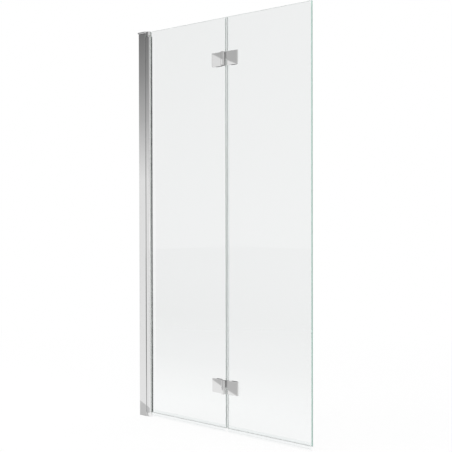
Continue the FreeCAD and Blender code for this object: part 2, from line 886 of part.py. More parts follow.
def glass_sleeves(label, clamp_x):
    """Nylon sleeves that keep the bosses off the glass."""
    outside = sleeve_bore + s.sleeve_wall
    profile = box(sleeve_bore, outside, zero, s.glass_thickness)
    heights = [z for height in hinge_heights.values() for z in clamp_heights(height)]
    places = [(clamp_x, half_glass, z) for z in heights]
    group(label, [turned("glass_sleeve", profile, place, POINT_BACK) for place in places])


def hinge_pivot(level, height):
    """Pin in the lower knuckle, nylon bush in the upper one and a washer between them."""
    knuckle = half_plate - s.barrel_roof
    round_bar(
        f"{level}_hinge_pin",
        s.hinge_pin_radius,
        height - knuckle,
        2 * knuckle - half_split,
        fold_x,
        -fold_front,
    )
    outside = hinge_bush_seat - s.press_clearance
    bush = box(hinge_bush_bore, outside, half_split, knuckle)
    place = (fold_x, -fold_front, height)
    label = f"{level}_hinge_bush"
    keep(label, turned(label, bush, place))
    washer = box(hinge_bush_bore, hinge_bush_seat, -half_split, s.washer_thickness - half_split)
    label = f"{level}_hinge_washer"
    keep(label, turned(label, washer, place))


def wall_post():
    wall_channel()
    expander_profile()
    upper_height = channel_top - upper_bracket_z
    pivot_bracket("top_bracket", upper_bracket_z, upper_height, bracket_screw_heights["upper"], True)
    pivot_bracket("bottom_bracket", zero, s.bracket_height, bracket_screw_heights["lower"], False)
    top_cap()
    pivot_bush("upper_pivot_bush", (pivot_x, zero, upper_bracket_z), s.upper_gap)
    pivot_bush("lower_pivot_bush", (pivot_x, zero, s.bracket_height), s.lower_gap, UPSIDE_DOWN)
    post_fasteners()


def inner_panel():
    pivot_profile()
    grip, reach = s.pivot_pin_grip, s.pivot_pin_reach
    upper_length = grip + s.upper_gap + reach
    round_bar("upper_pivot_pin", s.pivot_pin_radius, profile_top - grip, upper_length, pivot_x, zero)
    lower_length = grip + s.lower_gap + reach
    lower_end = s.bracket_height - reach
    round_bar("lower_pivot_pin", s.pivot_pin_radius, lower_end, lower_length, pivot_x, zero)
    gasket("front_gasket", -1)
    gasket("rear_gasket", 1)
    inner_glass()
    seal_start = pivot_end + s.bead_width + s.seal_end
    bottom_seal("inner_bottom_seal", seal_start, fold_x - s.seal_end)
    glass_sleeves("inner_sleeves", inner_clamp_x)
    clamp_screws("inner_clamp_screws", inner_clamp_x)


def outer_panel():
    outer_glass()
    bottom_seal("outer_bottom_seal", outer_edge + s.seal_end, s.screen_width)
    joint_seal()
    glass_sleeves("outer_sleeves", outer_clamp_x)
    clamp_screws("outer_clamp_screws", outer_clamp_x)


def hinge(level, height):
    inner_leaf(level, height)
    outer_leaf(level, height)
    sides = {
        "inner": (inner_plate_left, inner_plate_right, inner_clamp_x),
        "outer": (outer_plate_left, outer_plate_right, outer_clamp_x),
    }
    for side, (left, right, clamp_x) in sides.items():
        back_plate(f"{level}_hinge_{side}_back_plate", clamp_x, height)
        clamp_pads(f"{level}_hinge_{side}_pads", left, right, clamp_x, height)
    hinge_pivot(level, height)


wall_post()
inner_panel()
outer_panel()
for level, height in hinge_heights.items():
    hinge(level, height)
doc.recompute()

for thing in doc.Objects:
    if {"Invalid", "Error"} & set(thing.State):
        raise RuntimeError(f"{thing.Label} failed: {thing.State}")
    if thing.TypeId == "PartDesign::Pocket" and thing.Shape.Volume > thing.BaseFeature.Shape.Volume - 1:
        raise RuntimeError(f"{thing.Label} in {thing.getParentGeoFeatureGroup().Label} cuts nothing")
for piece in nodes:
    if piece.Shape.isNull() or not piece.Shape.isValid():
        raise RuntimeError(f"{piece.Label} has no valid shape")

os.makedirs("parts", exist_ok=True)
for piece in nodes:
    piece.Shape.exportStep(f"parts/{piece.Label}.step")
print(f"{len(nodes)} pieces written")
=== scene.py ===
import math

import bpy
import numpy as np
from mathutils import Matrix, Vector


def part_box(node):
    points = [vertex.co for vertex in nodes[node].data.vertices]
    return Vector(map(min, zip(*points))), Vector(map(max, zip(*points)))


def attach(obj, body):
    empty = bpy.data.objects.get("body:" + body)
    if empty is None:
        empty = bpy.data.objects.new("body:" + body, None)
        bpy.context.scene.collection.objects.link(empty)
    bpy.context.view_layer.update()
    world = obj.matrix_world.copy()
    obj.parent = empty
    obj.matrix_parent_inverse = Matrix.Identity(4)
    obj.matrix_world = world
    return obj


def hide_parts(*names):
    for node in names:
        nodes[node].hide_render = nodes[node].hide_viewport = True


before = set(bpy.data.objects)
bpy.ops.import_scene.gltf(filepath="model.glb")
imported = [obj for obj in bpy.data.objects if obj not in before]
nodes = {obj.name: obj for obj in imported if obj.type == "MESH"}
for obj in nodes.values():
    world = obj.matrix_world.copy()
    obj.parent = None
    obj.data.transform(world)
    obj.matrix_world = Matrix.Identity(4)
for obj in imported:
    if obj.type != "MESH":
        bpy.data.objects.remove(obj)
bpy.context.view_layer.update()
scene = bpy.context.scene
mm = 0.001
noiseMiddle = (0.3, 0.7)  # most values of a noise lie between these
print("frame loaded:", len(nodes), "solid pieces")


def linear(hexColour):
    # sRGB hex to linear light, one channel at a time
    levels = np.array([int(hexColour[i:i + 2], 16) for i in (1, 3, 5)]) / 255
    channels = np.where(levels <= 0.04045, levels / 12.92, ((levels + 0.055) / 1.055) ** 2.4)
    return (*channels.tolist(), 1.0)


def add(tree, kind, sockets=None, stops=None, **settings):
    # one node, with its settings, its colour stops if it has any, and its inputs set or linked
    node = tree.nodes.new(kind)
    for name, value in settings.items():
        setattr(node, name, value)
    for name, value in (sockets or {}).items():
        if isinstance(value, bpy.types.NodeSocket):
            tree.links.new(value, node.inputs[name])
        else:
            node.inputs[name].default_value = value
    if stops:
        ramp = node.color_ramp.elements
        for _ in stops[2:]:
            ramp.new(0.5)
        for element, (place, grey) in zip(ramp, stops):
            element.position = place
            element.color = (grey, grey, grey, 1)
    return node


def startMaterial(name):
    material = bpy.data.materials.new(name)
    material.use_nodes = True
    material.node_tree.nodes.clear()
    return material, material.node_tree


def finishMaterial(tree, shader, volume=None):
    output = add(tree, "ShaderNodeOutputMaterial", {"Surface": shader.outputs[0]})
    if volume:
        tree.links.new(volume.outputs[0], output.inputs["Volume"])


chromedExtrusion = {
    "tint": "#E7E7E7",
    "creviceShade": "#0C0D0E",  # painted shade, deep in the grooves between the profiles
    "creviceShadeReach": 4 * mm,
    "dieLine": 0.9 * mm,  # width of the faint lines that the die leaves along the bar
    "dieRun": 240 * mm,
    "haze": 14 * mm,  # size of the slightly duller patches in the plate
    "hazeRange": (0.35, 0.7),
    "roughness": (0.03, 0.075),
    "relief": 0.004 * mm,
    "reliefStrength": 0.12,
}


def makeChromedExtrusion(name, look):
    # extruded aluminium, polished and bright chromed: a mirror with faint long die lines, and painted shade
    # darkening it in the grooves
    material, tree = startMaterial(name)
    place = add(tree, "ShaderNodeTexCoord").outputs["Object"]
    along = add(tree, "ShaderNodeMapping", {
        "Vector": place,
        "Scale": (1 / look["dieLine"], 1 / look["dieLine"], 1 / look["dieRun"]),
    })
    lines = add(tree, "ShaderNodeTexNoise", {"Vector": along.outputs[0], "Scale": 1, "Detail": 3})
    patches = add(tree, "ShaderNodeTexNoise", {"Vector": place, "Scale": 1 / look["haze"], "Detail": 4})
    gloss = add(tree, "ShaderNodeMapRange", {
        "Value": patches.outputs["Fac"],
        "From Min": look["hazeRange"][0], "From Max": look["hazeRange"][1],
        "To Min": look["roughness"][0], "To Max": look["roughness"][1],
    })
    relief = add(tree, "ShaderNodeBump", {
        "Height": lines.outputs["Fac"], "Strength": look["reliefStrength"], "Distance": look["relief"],
    })
    # painted shade: ambient occlusion darkens the tint towards the shade colour near other surfaces
    unshadedShare = add(tree, "ShaderNodeAmbientOcclusion", {"Distance": look["creviceShadeReach"]}, samples=8)
    tint = add(tree, "ShaderNodeMix", {
        0: unshadedShare.outputs["AO"], 6: linear(look["creviceShade"]), 7: linear(look["tint"]),
    }, data_type="RGBA")
    shader = add(tree, "ShaderNodeBsdfPrincipled", {
        "Base Color": tint.outputs[2], "Metallic": 1,
        "Roughness": gloss.outputs[0], "Normal": relief.outputs[0],
    })
    finishMaterial(tree, shader)
    return material


chromedCasting = {
    "tint": "#E7E7E7",
    "creviceShade": "#0C0D0E",  # painted shade, between the knuckles and the leaves
    "creviceShadeReach": 4 * mm,
    "ripple": 9 * mm,  # slow ripple left by polishing a casting by hand
    "speck": 1.6 * mm,
    "speckRange": (0.4, 0.75),
    "roughness": (0.03, 0.08),
    "relief": 0.02 * mm,
    "reliefStrength": 0.1,
}


def makeChromedCasting(name, look):
    # die-cast zinc, buffed and bright chromed: a mirror with a slow buffing ripple, and painted shade between
    # the knuckles and the leaves
    material, tree = startMaterial(name)
    place = add(tree, "ShaderNodeTexCoord").outputs["Object"]
    ripple = add(tree, "ShaderNodeTexNoise", {"Vector": place, "Scale": 1 / look["ripple"], "Detail": 1})
    specks = add(tree, "ShaderNodeTexNoise", {"Vector": place, "Scale": 1 / look["speck"], "Detail": 5})
    gloss = add(tree, "ShaderNodeMapRange", {
        "Value": specks.outputs["Fac"],
        "From Min": look["speckRange"][0], "From Max": look["speckRange"][1],
        "To Min": look["roughness"][0], "To Max": look["roughness"][1],
    })
    relief = add(tree, "ShaderNodeBump", {
        "Height": ripple.outputs["Fac"], "Strength": look["reliefStrength"], "Distance": look["relief"],
    })
    # painted shade: ambient occlusion from the casting's own surfaces darkens the tint towards the shade
    # colour
    unshadedShare = add(tree, "ShaderNodeAmbientOcclusion", {"Distance": look["creviceShadeReach"]},
                   samples=8, only_local=True)
    tint = add(tree, "ShaderNodeMix", {
        0: unshadedShare.outputs["AO"], 6: linear(look["creviceShade"]), 7: linear(look["tint"]),
    }, data_type="RGBA")
    shader = add(tree, "ShaderNodeBsdfPrincipled", {
        "Base Color": tint.outputs[2], "Metallic": 1,
        "Roughness": gloss.outputs[0], "Normal": relief.outputs[0],
    })
    finishMaterial(tree, shader)
    return material


satinExtrusion = {
    # the anodised grey, made darker as painted shade because the bar shows only inside the groove
    "tint": "#8E9193",
    "dieLine": 0.5 * mm,
    "dieRun": 120 * mm,
    "roughness": (0.28, 0.42),
    "relief": 0.01 * mm,
    "reliefStrength": 0.3,
}


def makeSatinExtrusion(name, look):
    # extruded aluminium, etched and anodised: soft grey sheen drawn out along the bar, its grey darkened
    # further as painted shade for the groove it sits in
    material, tree = startMaterial(name)
    along = add(tree, "ShaderNodeMapping", {
        "Vector": add(tree, "ShaderNodeTexCoord").outputs["Object"],
        "Scale": (1 / look["dieLine"], 1 / look["dieLine"], 1 / look["dieRun"]),
    })
    lines = add(tree, "ShaderNodeTexNoise", {"Vector": along.outputs[0], "Scale": 1, "Detail": 4})
    gloss = add(tree, "ShaderNodeMapRange", {
        "Value": lines.outputs["Fac"], "From Min": noiseMiddle[0], "From Max": noiseMiddle[1],
        "To Min": look["roughness"][0], "To Max": look["roughness"][1],
    })
    relief = add(tree, "ShaderNodeBump", {
        "Height": lines.outputs["Fac"], "Strength": look["reliefStrength"], "Distance": look["relief"],
    })
    shader = add(tree, "ShaderNodeBsdfPrincipled", {
        "Base Color": linear(look["tint"]), "Metallic": 1,
        "Roughness": gloss.outputs[0], "Normal": relief.outputs[0],
    })
    finishMaterial(tree, shader)
    return material


turnedSteel = {
    "tint": "#C4C3C0",
    "toolMark": 0.35 * mm,
    "roughness": (0.16, 0.3),
    "relief": 0.008 * mm,
    "reliefStrength": 0.2,
}


def makeTurnedSteel(name, look):
    # stainless bar, turned and passivated: warm grey with fine tool marks
    material, tree = startMaterial(name)
    place = add(tree, "ShaderNodeTexCoord").outputs["Object"]
    marks = add(tree, "ShaderNodeTexNoise", {"Vector": place, "Scale": 1 / look["toolMark"], "Detail": 3})
    gloss = add(tree, "ShaderNodeMapRange", {
        "Value": marks.outputs["Fac"], "From Min": noiseMiddle[0], "From Max": noiseMiddle[1],
        "To Min": look["roughness"][0], "To Max": look["roughness"][1],
    })
    relief = add(tree, "ShaderNodeBump", {
        "Height": marks.outputs["Fac"], "Strength": look["reliefStrength"], "Distance": look["relief"],
    })
    shader = add(tree, "ShaderNodeBsdfPrincipled", {
        "Base Color": linear(look["tint"]), "Metallic": 1,
        "Roughness": gloss.outputs[0], "Normal": relief.outputs[0],
    })
    finishMaterial(tree, shader)
    return material


naturalNylon = {
    "tint": "#EFECE2",
    "shade": "#E2DED1",
    "cloud": 8 * mm,
    "grain": 0.6 * mm,
    "roughness": 0.42,
    "lightDepth": 1.2 * mm,  # how far light wanders under the skin
    "lightShare": 0.3,
    "relief": 0.02 * mm,
    "reliefStrength": 0.25,
}


def makeNaturalNylon(name, look):
    # moulded nylon, undyed: milky ivory with a fine spark-eroded grain
    material, tree = startMaterial(name)
    place = add(tree, "ShaderNodeTexCoord").outputs["Object"]
    grain = add(tree, "ShaderNodeTexNoise", {"Vector": place, "Scale": 1 / look["grain"], "Detail": 3})
    cloud = add(tree, "ShaderNodeTexNoise", {"Vector": place, "Scale": 1 / look["cloud"], "Detail": 2})
    tint = add(tree, "ShaderNodeMix", {
        0: cloud.outputs["Fac"], 6: linear(look["tint"]), 7: linear(look["shade"]),
    }, data_type="RGBA")
    relief = add(tree, "ShaderNodeBump", {
        "Height": grain.outputs["Fac"], "Strength": look["reliefStrength"], "Distance": look["relief"],
    })
    shader = add(tree, "ShaderNodeBsdfPrincipled", {
        "Base Color": tint.outputs[2], "Roughness": look["roughness"], "IOR": 1.53,
        "Subsurface Weight": look["lightShare"], "Subsurface Scale": look["lightDepth"],
        "Normal": relief.outputs[0],
    })
    finishMaterial(tree, shader)
    return material


clearPvc = {
    "tint": "#FBFCFC",
    "streak": 1.4 * mm,
    "streakRun": 160 * mm,
    "roughness": (0.05, 0.16),
    "index": 1.06,  # the step from glass, far under PVC's own: on the glass it hardly shows
    "relief": 0.01 * mm,
    "reliefStrength": 0.2,
}


def makeClearPvc(name, look):
    # extruded soft PVC: clear with faint flow streaks
    material, tree = startMaterial(name)
    along = add(tree, "ShaderNodeMapping", {
        "Vector": add(tree, "ShaderNodeTexCoord").outputs["Object"],
        "Scale": (1 / look["streakRun"], 1 / look["streak"], 1 / look["streak"]),
    })
    streaks = add(tree, "ShaderNodeTexNoise", {"Vector": along.outputs[0], "Scale": 1, "Detail": 3})
    gloss = add(tree, "ShaderNodeMapRange", {
        "Value": streaks.outputs["Fac"], "From Min": noiseMiddle[0], "From Max": noiseMiddle[1],
        "To Min": look["roughness"][0], "To Max": look["roughness"][1],
    })
    relief = add(tree, "ShaderNodeBump", {
        "Height": streaks.outputs["Fac"], "Strength": look["reliefStrength"], "Distance": look["relief"],
    })
    shader = add(tree, "ShaderNodeBsdfPrincipled", {
        "Base Color": linear(look["tint"]), "Roughness": gloss.outputs[0], "IOR": look["index"],
        "Transmission Weight": 1, "Normal": relief.outputs[0],
    })
    finishMaterial(tree, shader)
    return material


pressedPvc = {
    "tint": "#F9FAFA",
    "haze": "#C3C8C6",
    "mottle": 5 * mm,
    "milky": (0.01, 0.06),
    "roughness": 0.35,
}


def makePressedPvc(name, look):
    # moulded soft PVC squeezed between chrome and glass: light goes straight through, with a mottled haze
    material, tree = startMaterial(name)
    place = add(tree, "ShaderNodeTexCoord").outputs["Object"]
    mottle = add(tree, "ShaderNodeTexNoise", {"Vector": place, "Scale": 1 / look["mottle"], "Detail": 3})
    milky = add(tree, "ShaderNodeMapRange", {
        "Value": mottle.outputs["Fac"], "From Min": noiseMiddle[0], "From Max": noiseMiddle[1],
        "To Min": look["milky"][0], "To Max": look["milky"][1],
    })
    clear = add(tree, "ShaderNodeBsdfTransparent", {"Color": linear(look["tint"])})
    haze = add(tree, "ShaderNodeBsdfPrincipled", {
        "Base Color": linear(look["haze"]), "Roughness": look["roughness"], "IOR": 1.5,
    })
    mixed = add(tree, "ShaderNodeMixShader", {0: milky.outputs[0], 1: clear.outputs[0], 2: haze.outputs[0]})
    finishMaterial(tree, mixed)
    return material


greyGasket = {
    "tint": "#DEE3E0",
    "shade": "#D0D5D2",
    "grain": 0.5 * mm,
    "roughness": (0.3, 0.5),
    "clear": 0.15,
    "relief": 0.02 * mm,
    "reliefStrength": 0.3,
}


def makeGreyGasket(name, look):
    # extruded translucent elastomer wedge: smoky grey, lit through from the glass, with a fine grain
    material, tree = startMaterial(name)
    place = add(tree, "ShaderNodeTexCoord").outputs["Object"]
    grain = add(tree, "ShaderNodeTexNoise", {"Vector": place, "Scale": 1 / look["grain"], "Detail": 4})
    tint = add(tree, "ShaderNodeMix", {
        0: grain.outputs["Fac"], 6: linear(look["tint"]), 7: linear(look["shade"]),
    }, data_type="RGBA")
    relief = add(tree, "ShaderNodeBump", {
        "Height": grain.outputs["Fac"], "Strength": look["reliefStrength"], "Distance": look["relief"],
    })
    gloss = add(tree, "ShaderNodeMapRange", {
        "Value": grain.outputs["Fac"], "From Min": noiseMiddle[0], "From Max": noiseMiddle[1],
        "To Min": look["roughness"][0], "To Max": look["roughness"][1],
    })
    shader = add(tree, "ShaderNodeBsdfPrincipled", {
        "Base Color": tint.outputs[2], "Roughness": gloss.outputs[0], "IOR": 1.4,
        "Transmission Weight": look["clear"], "Normal": relief.outputs[0],
    })
    finishMaterial(tree, shader)
    return material


floatGlass = {
    "face": "#F8F9F9",
    "edge": "#ECF4F1",
    "arris": "#F6FAF8",
    "shadedFreeEdge": "#B4D4CA",  # the outer pane's free edge: the glass's own green, painted darker than the sealed edges as painted shade
    "shadedFreeArris": "#CFE3DC",
    "freeFrom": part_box("outer_glass")[1][0] - 1 * mm,  # how far from the wall it begins
    "wave": 90 * mm,  # roller wave of toughened glass
    "grit": 0.4 * mm,  # marks of the edge grinding
    "edgeFacing": 0.3,  # a face that looks less than this share outwards is an edge
    "arrisFacing": (math.sqrt(0.5), 0.15),  # an arris looks this share outwards, give or take
    "edgeRoughness": (0.15, 0.35),
    "edgeClear": 0.35,
    "arrisClear": 0.1,
    "relief": 0.02 * mm,
    "reliefStrength": 0.05,
    "depthTint": "#A9D3C4",
    "depthDensity": 1.2,
}


def makeFloatGlass(name, look):
    # toughened clear glass: clear faces with a slow roller wave, ground green edges, frosted arrises
    material, tree = startMaterial(name)
    place = add(tree, "ShaderNodeTexCoord").outputs["Object"]
    # the face's own direction in the pane, so that it holds when the pane swings
    ownNormal = add(tree, "ShaderNodeVectorTransform", {
        "Vector": add(tree, "ShaderNodeNewGeometry").outputs["True Normal"],
    }, vector_type="NORMAL", convert_from="WORLD", convert_to="OBJECT")
    facing = add(tree, "ShaderNodeSeparateXYZ", {0: ownNormal.outputs[0]})
    outwards = add(tree, "ShaderNodeMath", {0: facing.outputs["Y"]}, operation="ABSOLUTE")
    edge = add(tree, "ShaderNodeMath", {
        0: outwards.outputs[0], 1: look["edgeFacing"],
    }, operation="LESS_THAN").outputs[0]
    arris = add(tree, "ShaderNodeMath", {
        0: outwards.outputs[0], 1: look["arrisFacing"][0], 2: look["arrisFacing"][1],
    }, operation="COMPARE").outputs[0]
    grit = add(tree, "ShaderNodeTexNoise", {"Vector": place, "Scale": 1 / look["grit"], "Detail": 3})
    wave = add(tree, "ShaderNodeTexNoise", {"Vector": place, "Scale": 1 / look["wave"], "Detail": 1})
    along = add(tree, "ShaderNodeSeparateXYZ", {0: place})
    free = add(tree, "ShaderNodeMath", {
        0: along.outputs["X"], 1: look["freeFrom"],
    }, operation="GREATER_THAN").outputs[0]
    # painted shade: the free edge and its arris get a darker green than the edges under the joint's seal
    edgeTint = add(tree, "ShaderNodeMix", {
        0: free, 6: linear(look["edge"]), 7: linear(look["shadedFreeEdge"]),
    }, data_type="RGBA")
    arrisTint = add(tree, "ShaderNodeMix", {
        0: free, 6: linear(look["arris"]), 7: linear(look["shadedFreeArris"]),
    }, data_type="RGBA")
    sheet = add(tree, "ShaderNodeMix", {
        0: edge, 6: linear(look["face"]), 7: edgeTint.outputs[2],
    }, data_type="RGBA")
    tint = add(tree, "ShaderNodeMix", {
        0: arris, 6: sheet.outputs[2], 7: arrisTint.outputs[2],
    }, data_type="RGBA")
    ground = add(tree, "ShaderNodeMapRange", {
        "Value": grit.outputs["Fac"], "From Min": noiseMiddle[0], "From Max": noiseMiddle[1],
        "To Min": look["edgeRoughness"][0], "To Max": look["edgeRoughness"][1],
    })
    worked = add(tree, "ShaderNodeMath", {0: edge, 1: arris}, operation="MAXIMUM")
    gloss = add(tree, "ShaderNodeMath", {0: worked.outputs[0], 1: ground.outputs[0]}, operation="MULTIPLY")
    flush = add(tree, "ShaderNodeMapRange", {"Value": edge, "To Min": 1, "To Max": look["edgeClear"]})
    clear = add(tree, "ShaderNodeMapRange", {
        "Value": arris, "To Min": flush.outputs[0], "To Max": look["arrisClear"],
    })
    relief = add(tree, "ShaderNodeBump", {
        "Height": wave.outputs["Fac"], "Strength": look["reliefStrength"], "Distance": look["relief"],
    })
    shader = add(tree, "ShaderNodeBsdfPrincipled", {
        "Base Color": tint.outputs[2], "Roughness": gloss.outputs[0], "IOR": 1.52,
        "Transmission Weight": clear.outputs[0], "Normal": relief.outputs[0],
    })
    depth = add(tree, "ShaderNodeVolumeAbsorption", {
        "Color": linear(look["depthTint"]), "Density": look["depthDensity"],
    })
    finishMaterial(tree, shader, depth)
    return material


finishes = {
    "chromed_aluminium": makeChromedExtrusion("chromed_extrusion", chromedExtrusion),
    "chromed_zinc": makeChromedCasting("chromed_casting", chromedCasting),
    "satin_aluminium": makeSatinExtrusion("satin_anodised_extrusion_painted_shade", satinExtrusion),
    "stainless_steel": makeTurnedSteel("turned_stainless_steel", turnedSteel),
    "natural_nylon": makeNaturalNylon("moulded_natural_nylon", naturalNylon),
    "clear_pvc": makeClearPvc("extruded_clear_pvc", clearPvc),
    "grey_gasket": makeGreyGasket("extruded_grey_elastomer", greyGasket),
    "clear_glass": makeFloatGlass("toughened_float_glass", floatGlass),
}
padFinish = makePressedPvc("moulded_clear_pvc", pressedPvc)
for name, piece in nodes.items():
    slot = piece.material_slots[0]
    slot.material = padFinish if name.endswith("_pads") else finishes[slot.material.name]
print("finishes given to", len(nodes), "pieces")

clampScrew = {
    "headRadius": 4.85 * mm,
    "headEdge": 0.15 * mm,
    "socketFlat": 2 * mm,  # half the width across the flats
    "socketDepth": 2.2 * mm,
    "socketLead": 2.5 * mm,  # radius of the round lead-in
    "leadDepth": 0.35 * mm,
    "shankRadius": 2.6 * mm,
    "coneDepth": 2.4 * mm,
    "tipBevel": 0.5 * mm,
    "length": 12.5 * mm,
    "spacing": 26 * mm,
    "around": 72,
    "sharpDegrees": 25,
}


def makeClampScrews(side, look):
    # countersunk socket screws behind each hinge: a profile of radius and depth turned about the axis,
    # where the socket's radius is its flat's distance over the cosine of the angle from that flat's middle
    count = look["around"]
    angle = np.arange(count) * 2 * np.pi / count
    sixSided = 1 / np.cos((angle + np.pi / 6) % (np.pi / 3) - np.pi / 6)
    profile = np.array([
        (look["socketFlat"], look["socketDepth"], 1),
        (look["socketFlat"], look["leadDepth"], 1),
        (look["socketLead"], 0, 0),
        (look["headRadius"] - look["headEdge"], 0, 0),
        (look["headRadius"], look["headEdge"], 0),
        (look["shankRadius"], look["coneDepth"], 0),
        (look["shankRadius"], look["length"] - look["tipBevel"], 0),
        (look["shankRadius"] - look["tipBevel"], look["length"], 0),
    ])
    radius = profile[:, :1] * np.where(profile[:, 2:] > 0, sixSided, 1)
    depth = np.repeat(profile[:, 1:2], count, axis=1)
    oneScrew = np.stack([radius * np.cos(angle), -depth, radius * np.sin(angle)], axis=2).reshape(-1, 3)
    centres = []
    for level in ("upper", "lower"):
        low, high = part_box(f"{level}_hinge_{side}_back_plate")
        across, height = (low[0] + high[0]) / 2, (low[2] + high[2]) / 2
        centres += [(across, high[1], height + step * look["spacing"] / 2) for step in (-1, 1)]
    points = (np.array(centres)[:, None] + oneScrew).reshape(-1, 3)
    # a quad for every pair of stations and pair of angles, then the socket's floor and the tip
    row, column = np.meshgrid(np.arange(len(profile) - 1), np.arange(count), indexing="ij")
    here, beside = row * count + column, row * count + (column + 1) % count
    quads = np.stack([here, beside, beside + count, here + count], axis=2).reshape(-1, 4)
    floor = np.arange(count)[::-1]
    tip = np.arange(count) + (len(profile) - 1) * count
    faces = []
    for start in range(0, len(points), len(oneScrew)):
        faces += (quads + start).tolist() + [(floor + start).tolist(), (tip + start).tolist()]
    name = f"{side}_socket_screws"
    mesh = bpy.data.meshes.new(name)
    mesh.from_pydata(points.tolist(), [], faces)
    mesh.shade_smooth()
    mesh.set_sharp_from_angle(angle=math.radians(look["sharpDegrees"]))
    mesh.materials.append(finishes["stainless_steel"])
    screws = bpy.data.objects.new(name, mesh)
    scene.collection.objects.link(screws)
    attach(screws, f"{side}_panel")
    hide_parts(f"{side}_clamp_screws")


makeClampScrews("inner", clampScrew)
makeClampScrews("outer", clampScrew)
print("clamp screws made")

studio = {
    "floorReach": 14.0,  # metres each way from the screen
    "floorGap": 0.3 * mm,
    "floorTint": "#F7F7F7",
    "shadowShare": 0.09,  # how much of the floor's white gives way to shadow near the screen
    "shadowReach": (1.2, 3.0),
    "ambient": 0.92,  # soft light on dull surfaces
    "towardLeft": (-0.725, -0.688, 0),
    "leftBlend": (0.5, 0.95),  # cosines between which the left wall comes in
    "towardBack": (-0.6, 0.8, 0),
    "backBlend": (0.4, 0.9),
    "wallSpan": (-0.2, 0.8),  # heights of the look from the walls' first tone to their last
    "floorSpan": 6.0,
    "floorLeft": -1.5,  # left of this the floor is dim behind the post as well
    "floorRight": 0.9,  # past the free edge the floor soon grows light again
    "floorRise": 2.5,
    # what mirrors see of the floor, from the screen to the front and back, as shares of that span
    "floorTones": [(0.0, 1.12), (0.05, 1.08), (0.11, 0.75), (0.2, 0.36), (0.45, 0.09), (1.0, 0.18)],
    # what mirrors see of the walls, by the height of the look: left of the camera, right of it, and behind
    "leftTones": [(0.0, 0.4), (0.2, 0.385), (0.36, 0.22), (0.5, 0.2), (0.75, 0.7), (1.0, 0.95)],
    "rightTones": [(0.0, 1.0), (0.2, 1.0), (0.29, 0.85), (0.36, 0.72), (0.5, 0.5), (0.75, 0.8), (1.0, 0.95)],
    "backTones": [(0.0, 0.18), (0.2, 0.2), (0.36, 0.3), (0.5, 0.4), (0.75, 0.75), (1.0, 0.95)],
}


def makeSky(look):
    # white to the eye and through glass; mirrors see a grey studio, lighter on the right and overhead
    world = bpy.data.worlds.new("white_studio")
    world.use_nodes = True
    tree = world.node_tree
    tree.nodes.clear()
    ray = add(tree, "ShaderNodeLightPath").outputs
    direction = add(tree, "ShaderNodeTexCoord").outputs["Generated"]
    height = add(tree, "ShaderNodeSeparateXYZ", {0: direction}).outputs["Z"]
    level = add(tree, "ShaderNodeMapRange", {
        "Value": height, "From Min": look["wallSpan"][0], "From Max": look["wallSpan"][1],
    })
    leftWall = add(tree, "ShaderNodeValToRGB", {0: level.outputs[0]}, stops=look["leftTones"])
    rightWall = add(tree, "ShaderNodeValToRGB", {0: level.outputs[0]}, stops=look["rightTones"])
    lean = add(tree, "ShaderNodeVectorMath", {0: direction, 1: look["towardLeft"]}, operation="DOT_PRODUCT")
    side = add(tree, "ShaderNodeMapRange", {
        "Value": lean.outputs["Value"], "From Min": look["leftBlend"][0], "From Max": look["leftBlend"][1],
    })
    front = add(tree, "ShaderNodeMix", {
        0: side.outputs[0], 6: rightWall.outputs[0], 7: leftWall.outputs[0],
    }, data_type="RGBA")
    backWall = add(tree, "ShaderNodeValToRGB", {0: level.outputs[0]}, stops=look["backTones"])
    turned = add(tree, "ShaderNodeVectorMath", {0: direction, 1: look["towardBack"]}, operation="DOT_PRODUCT")
    behind = add(tree, "ShaderNodeMapRange", {
        "Value": turned.outputs["Value"], "From Min": look["backBlend"][0], "From Max": look["backBlend"][1],
    })
    walls = add(tree, "ShaderNodeMix", {
        0: behind.outputs[0], 6: front.outputs[2], 7: backWall.outputs[0],
    }, data_type="RGBA")
    mirrored = add(tree, "ShaderNodeMath", {0: ray["Glossy Depth"], 1: 0.5}, operation="GREATER_THAN")
    seen = add(tree, "ShaderNodeMath", {
        0: ray["Is Camera Ray"], 1: ray["Is Transmission Ray"],
    }, operation="MAXIMUM")
    white = add(tree, "ShaderNodeBackground", {"Color": (1, 1, 1, 1), "Strength": 1})
    soft = add(tree, "ShaderNodeBackground", {"Color": (1, 1, 1, 1), "Strength": look["ambient"]})
    mirror = add(tree, "ShaderNodeBackground", {"Color": walls.outputs[2], "Strength": 1})
    plain = add(tree, "ShaderNodeMixShader", {0: seen.outputs[0], 1: soft.outputs[0], 2: white.outputs[0]})
    sky = add(tree, "ShaderNodeMixShader", {
        0: mirrored.outputs[0], 1: plain.outputs[0], 2: mirror.outputs[0],
    })
    add(tree, "ShaderNodeOutputWorld", {"Surface": sky.outputs[0]})
    scene.world = world


